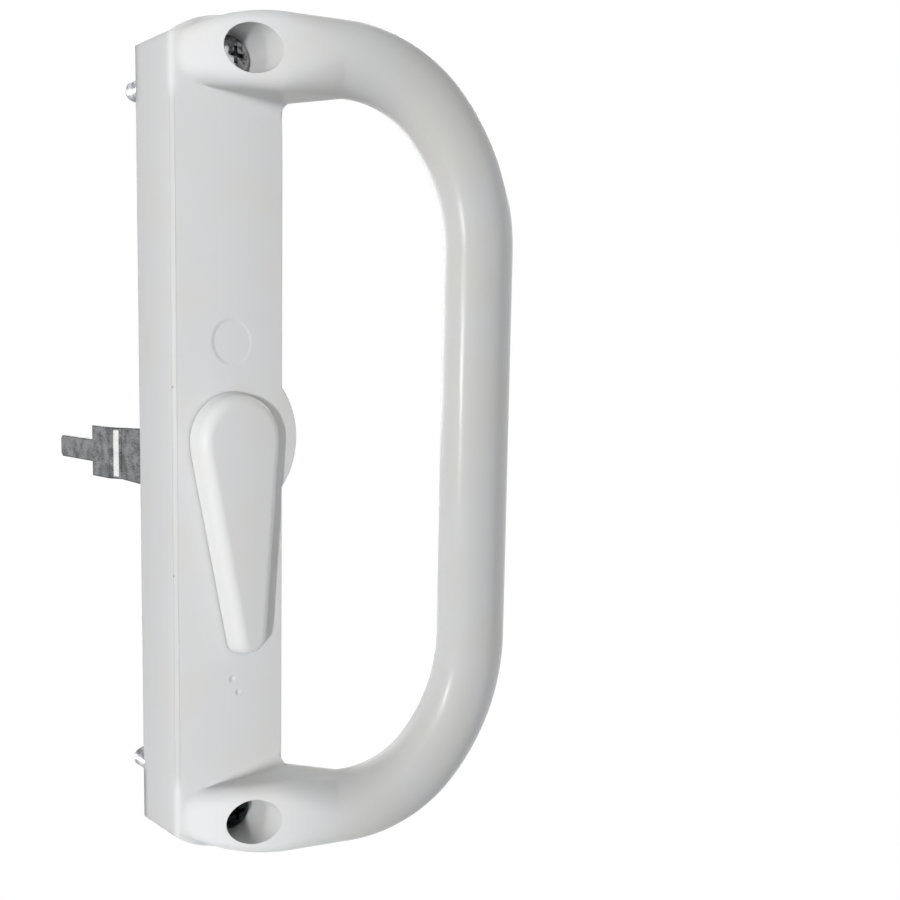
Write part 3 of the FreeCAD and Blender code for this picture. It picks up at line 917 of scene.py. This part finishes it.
@dataclass
class MountingScrews:
    """The two screws: a domed head with a cross recess, a neck and a rolled thread.

    Sizes are in millimetres and degrees.
    """

    spacing: float = 168.3
    seat: float = -13.0
    head_radius: float = 4.6
    head_rim: float = 0.9
    head_height: float = 3.2
    head_flat: float = 2.8
    dome_bulge: float = 0.32
    dome_steps: int = 6
    neck_radius: float = 2.1
    root_radius: float = 1.92
    crest_radius: float = 2.415
    crest_width: float = 0.14
    thread_sunk: float = 0.1
    thread_land: float = 0.06
    pitch: float = 1.058
    end: float = 28.0
    tip_chamfer: float = 0.8
    recess_span: float = 4.6
    recess_slot: float = 1.1
    recess_depth: float = 1.9
    recess_taper: float = 0.62
    turn_steps: int = 28
    round_steps: int = 48
    close_within: float = 1e-4
    smooth_under: float = 40.0
    finish: ScrewSteel = ScrewSteel()

    def build(self) -> bpy.types.Object:
        """Make one screw, copy it to the other hole and dress the pair.

        Returns:
            The finished pair.
        """
        shape = self._head()
        self._add_thread(shape)
        whole = shape.verts[:] + shape.edges[:] + shape.faces[:]
        bmesh.ops.translate(shape, verts=shape.verts[:], vec=(0.0, 0.0, self.spacing / 2))
        copied = bmesh.ops.duplicate(shape, geom=whole)["geom"]
        moved = [item for item in copied if isinstance(item, bmesh.types.BMVert)]
        bmesh.ops.translate(shape, verts=moved, vec=(0.0, 0.0, -self.spacing))
        bmesh.ops.scale(shape, verts=shape.verts[:], vec=(MM,) * 3)
        piece = show(shape, "mounting_screws_looks", self.smooth_under)
        dress(piece, "mounting_screws", Body.HANDLE, self.finish)
        return piece

    def _turned(self, profile: Iterable[Pair]) -> bmesh.types.BMesh:
        """Spin a half section about the screw's axis.

        Args:
            profile: radius and distance along the axis of each point.

        Returns:
            The turned shape, with its seam and poles closed.
        """
        shape = bmesh.new()
        points = [shape.verts.new((radius, along, 0.0)) for radius, along in profile]
        edges = [shape.edges.new(pair) for pair in zip(points, points[1:])]
        bmesh.ops.spin(shape, geom=points + edges, cent=(0, 0, 0), axis=(0, 1, 0), angle=math.tau,
                       steps=self.round_steps, use_merge=True)
        bmesh.ops.remove_doubles(shape, verts=shape.verts[:], dist=self.close_within)
        bmesh.ops.recalc_face_normals(shape, faces=shape.faces[:])
        return shape

    def _head(self) -> bmesh.types.BMesh:
        """The turned head, neck and core with the cross recess cut into it.

        Returns:
            The shape, in millimetres about the screw's own axis.
        """
        crown, shoulder = self.seat - self.head_height, self.seat - self.head_rim
        dome = []
        for step in range(1, self.dome_steps):
            share = step / self.dome_steps
            bulge = self.dome_bulge * math.sin(math.pi * share)
            radius = self.head_radius + (self.head_flat - self.head_radius) * share + bulge
            dome.append((min(radius, self.head_radius), shoulder + (crown - shoulder) * share))
        turned = self._turned([
            (0.0, crown), (self.head_flat, crown), *reversed(dome), (self.head_radius, shoulder),
            (self.head_radius, self.seat), (self.neck_radius, self.seat), (self.neck_radius, 0.0),
            (self.root_radius, 0.0), (self.root_radius, self.end - self.tip_chamfer / 2),
            (self.root_radius - self.tip_chamfer / 2, self.end), (0.0, self.end),
        ])
        return self._cut_recess(turned, crown)

    def _cut_recess(self, turned: bmesh.types.BMesh, crown: float) -> bmesh.types.BMesh:
        """Cut the tapered cross out of the head.

        Args:
            turned: the turned screw, which is freed.
            crown: where the head's crown is along the axis.

        Returns:
            The screw with its recess.
        """
        blank = show(turned, "screw_blank")
        cutters = []
        for arms in ((self.recess_span, self.recess_slot), (self.recess_slot, self.recess_span)):
            bar = bmesh.new()
            bmesh.ops.create_cube(bar, size=1.0)
            bmesh.ops.scale(bar, verts=bar.verts[:], vec=(arms[0], self.recess_depth * 2, arms[1]))
            bmesh.ops.translate(bar, verts=bar.verts[:], vec=(0.0, crown, 0.0))
            floor = [vertex for vertex in bar.verts if vertex.co.y > crown]
            bmesh.ops.scale(bar, verts=floor, vec=(self.recess_taper, 1.0, self.recess_taper))
            cutter = show(bar, "recess_cutter")
            cut = blank.modifiers.new("recess", "BOOLEAN")
            cut.object = cutter
            cut.solver = "EXACT"
            cutters.append(cutter)
        graph = bpy.context.evaluated_depsgraph_get()
        result = bpy.data.meshes.new_from_object(blank.evaluated_get(graph))
        shape = bmesh.new()
        shape.from_mesh(result)
        bpy.data.meshes.remove(result)
        for spent in [blank, *cutters]:
            bpy.data.meshes.remove(spent.data)
        return shape

    def _add_thread(self, shape: bmesh.types.BMesh) -> None:
        """Wind the thread round the core, closed at both ends and drawn in at the tip.

        Args:
            shape: the screw that gets it.
        """
        inner = self.root_radius - self.thread_sunk
        foot = self.pitch / 2
        section = [
            (inner, -foot), (self.root_radius, -foot + self.thread_land),
            (self.crest_radius, -self.crest_width / 2), (self.crest_radius, self.crest_width / 2),
            (self.root_radius, foot - self.thread_land), (inner, foot),
        ]
        turns = (self.end - self.tip_chamfer / 2 - self.pitch) / self.pitch
        steps = round(turns * self.turn_steps)
        points = [shape.verts.new((radius, foot + along, 0.0)) for radius, along in section]
        edges = [shape.edges.new(pair) for pair in zip(points, points[1:] + points[:1])]
        first = shape.faces.new(points)
        rise = (0.0, turns * self.pitch / steps, 0.0)
        bmesh.ops.spin(shape, geom=points + edges + [first], cent=(0, 0, 0), axis=(0, 1, 0),
                       dvec=rise, angle=turns * math.tau, steps=steps)
        bmesh.ops.recalc_face_normals(shape, faces=shape.faces[:])
        tip = self.end - self.tip_chamfer
        for vertex in shape.verts:
            drawn = self.crest_radius - max(vertex.co.y - tip, 0.0)
            reach = math.hypot(vertex.co.x, vertex.co.z)
            if vertex.co.y > tip and reach > drawn:
                vertex.co.x *= drawn / reach
                vertex.co.z *= drawn / reach


@dataclass
class HandleBody:
    """What stays still: the casting, the pivot bushing and the mounting screws."""

    enamel: Enamel = Enamel()
    acetal: Acetal = Acetal()

    def build(self) -> list[bpy.types.Object]:
        """Build and dress the pieces.

        Returns:
            The finished pieces.
        """
        return [
            SmoothCopy("handle_casting", Body.HANDLE, self.enamel).build(),
            SmoothCopy("pivot_bushing", Body.HANDLE, self.acetal).build(),
            MountingScrews().build(),
        ]


@dataclass
class ThumbTurn:
    """What turns: the lever, the spring washer, the tailpiece and its clip."""

    steel: SpringSteel = SpringSteel()
    zinc: ZincPlate = ZincPlate()

    def build(self) -> list[bpy.types.Object]:
        """Build and dress the pieces.

        Returns:
            The finished pieces.
        """
        return [
            ThumbLever().build(),
            SmoothCopy("spring_washer", Body.THUMB_TURN, self.steel).build(),
            SmoothCopy("tailpiece", Body.THUMB_TURN, self.zinc).build(),
            SmoothCopy("retaining_clip", Body.THUMB_TURN, self.steel).build(),
        ]


@dataclass
class Lamp:
    """An upright lamp, open or narrowed by a grid, that looks at its aim.

    Sizes are in metres, angles in degrees and the power in watts.
    """

    name: str
    bearing: float
    away: float
    height: float
    width: float
    tall: float
    power: float
    tint: Triple = (1.0, 1.0, 1.0)
    spread: float = 180.0
    aim: Triple = (0.0, 0.0, 0.0)
    mirrored: bool = True

    def build(self) -> None:
        """Put the lamp in the scene, its bearing counted to the left from straight ahead."""
        light = bpy.data.lights.new(self.name, "AREA")
        light.shape = "RECTANGLE"
        light.size, light.size_y = self.width, self.tall
        light.energy = self.power
        light.color = self.tint
        light.spread = math.radians(self.spread)
        lamp = bpy.data.objects.new(self.name, light)
        lamp.visible_glossy = self.mirrored
        bearing = math.radians(self.bearing)
        away = Vector((-math.sin(bearing) * self.away, -math.cos(bearing) * self.away, self.height))
        turn = (-away).to_track_quat("-Z", "Y").to_matrix().to_4x4()
        lamp.matrix_world = Matrix.Translation(Vector(self.aim) + away) @ turn
        bpy.context.scene.collection.objects.link(lamp)


@dataclass
class Camera:
    """The photograph's point of view.

    Sizes are in millimetres and degrees, and what it sees from and to is in metres.
    """

    place: Triple = (-114.93, -185.0, 18.62)
    heading: float = 47.632
    dip: float = 5.2335
    roll: float = 1.1125
    lens: float = 36.02
    sensor: float = 36.0
    sees_from: float = 0.01
    sees_to: float = 20.0

    def build(self) -> None:
        """Put the camera in the scene and make it the active one."""
        heading, dip, roll = (math.radians(angle) for angle in (self.heading, self.dip, self.roll))
        level = Vector((math.sin(heading), math.cos(heading), 0.0))
        upright = Vector((0.0, 0.0, 1.0))
        look = level * math.cos(dip) - upright * math.sin(dip)
        raised = upright * math.cos(dip) + level * math.sin(dip)
        right = look.cross(raised)
        across = right * math.cos(roll) + raised * math.sin(roll)
        up = raised * math.cos(roll) - right * math.sin(roll)
        turn = Matrix((across, up, -look)).transposed().to_4x4()
        data = bpy.data.cameras.new("photograph")
        data.lens = self.lens
        data.sensor_width = self.sensor
        data.clip_start, data.clip_end = self.sees_from, self.sees_to
        camera = bpy.data.objects.new("photograph", data)
        camera.matrix_world = Matrix.Translation(Vector(self.place) * MM) @ turn
        bpy.context.scene.collection.objects.link(camera)
        bpy.context.scene.camera = camera


@dataclass
class Studio:
    """White surroundings, a pale floor, the lamps and the camera. Metres."""

    floor_height: float = -0.75
    floor_size: float = 6.0
    paper: Triple = (0.80, 0.80, 0.80)
    ambient: float = 0.28

    def build(self) -> None:
        """Build the surroundings."""
        bpy.context.scene.view_settings.view_transform = "Standard"
        self._world()
        self._floor()
        for lamp in self._lamps():
            lamp.build()
        Camera().build()

    @staticmethod
    def _lamps() -> list[Lamp]:
        """Narrow beams on the plate and the grip, and two soft lamps at the right and behind.

        Returns:
            The lamps, still to be built.
        """
        cool, warm = (0.98, 0.99, 1.0), (1.0, 0.995, 0.975)
        return [
            Lamp("key", bearing=49.5, away=0.75, height=0.0, width=0.02, tall=0.26, power=0.0365,
                 tint=cool, spread=8.0),
            Lamp("window", bearing=95.0, away=0.95, height=0.0, width=0.04, tall=0.36, power=0.0275,
                 tint=warm, spread=3.0, aim=(0.05, -0.05, 0.0)),
            Lamp("fill", bearing=-12.0, away=0.90, height=0.10, width=0.05, tall=0.35, power=0.0165,
                 tint=cool, spread=4.0, aim=(0.06, -0.05, 0.0), mirrored=False),
            Lamp("front", bearing=8.0, away=0.90, height=-0.05, width=0.05, tall=0.26, power=0.0085,
                 tint=cool, spread=7.0, aim=(-0.004, 0.0, -0.01), mirrored=False),
            Lamp("side", bearing=-112.0, away=1.00, height=0.60, width=0.60, tall=0.60, power=3.4),
            Lamp("back", bearing=195.0, away=1.10, height=0.30, width=0.80, tall=0.80, power=3.4),
        ]

    @staticmethod
    def _white_if_seen(graph: Graph, otherwise: Socket, white: Socket) -> Socket:
        """Let the rays of the camera, of mirrors and of glass meet plain white.

        Args:
            graph: the graph of the surroundings.
            otherwise: the shader that all other rays meet.
            white: the plain white shader.

        Returns:
            The shader that chooses between the two.
        """
        path = graph.add("ShaderNodeLightPath", {}, {})
        seen = path.value("Is Camera Ray") + path.value("Is Glossy Ray")
        seen = seen + path.value("Is Transmission Ray")
        return graph.add("ShaderNodeMixShader", {}, {0: seen, 1: otherwise, 2: white}).out()

    def _world(self) -> None:
        """White where it is seen or mirrored, and an even soft light otherwise."""
        world = bpy.data.worlds.new("studio")
        bpy.context.scene.world = world
        graph = Graph(world)
        soft = graph.add("ShaderNodeBackground", {}, {"Color": WHITE, "Strength": self.ambient})
        white = graph.add("ShaderNodeBackground", {}, {"Color": WHITE, "Strength": 1.0})
        both = self._white_if_seen(graph, soft.out(), white.out())
        graph.add("ShaderNodeOutputWorld", {}, {"Surface": both})

    def _floor(self) -> None:
        """A pale floor under the part, white where it is seen."""
        shape = bmesh.new()
        bmesh.ops.create_grid(shape, x_segments=1, y_segments=1, size=self.floor_size / 2)
        bmesh.ops.translate(shape, verts=shape.verts[:], vec=(0.0, 0.0, self.floor_height))
        floor = show(shape, "floor")
        made = bpy.data.materials.new("floor_paper")
        graph = Graph(made)
        paper = graph.add("ShaderNodeBsdfDiffuse", {}, {"Color": colour(*self.paper)})
        white = graph.add("ShaderNodeEmission", {}, {"Color": WHITE, "Strength": 1.0})
        both = self._white_if_seen(graph, paper.out(), white.out())
        graph.add("ShaderNodeOutputMaterial", {}, {"Surface": both})
        floor.data.materials.append(made)


def main() -> None:
    """Build the part's looks and its surroundings."""
    logging.basicConfig(level=logging.INFO, format="%(name)s: %(message)s")
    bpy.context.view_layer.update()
    for assembly in (HandleBody(), ThumbTurn()):
        for piece in assembly.build():
            log.info("%s: %d faces", piece.name, len(piece.data.polygons))
    Studio().build()
    bpy.context.view_layer.update()


if __name__ == "__main__":
    main()
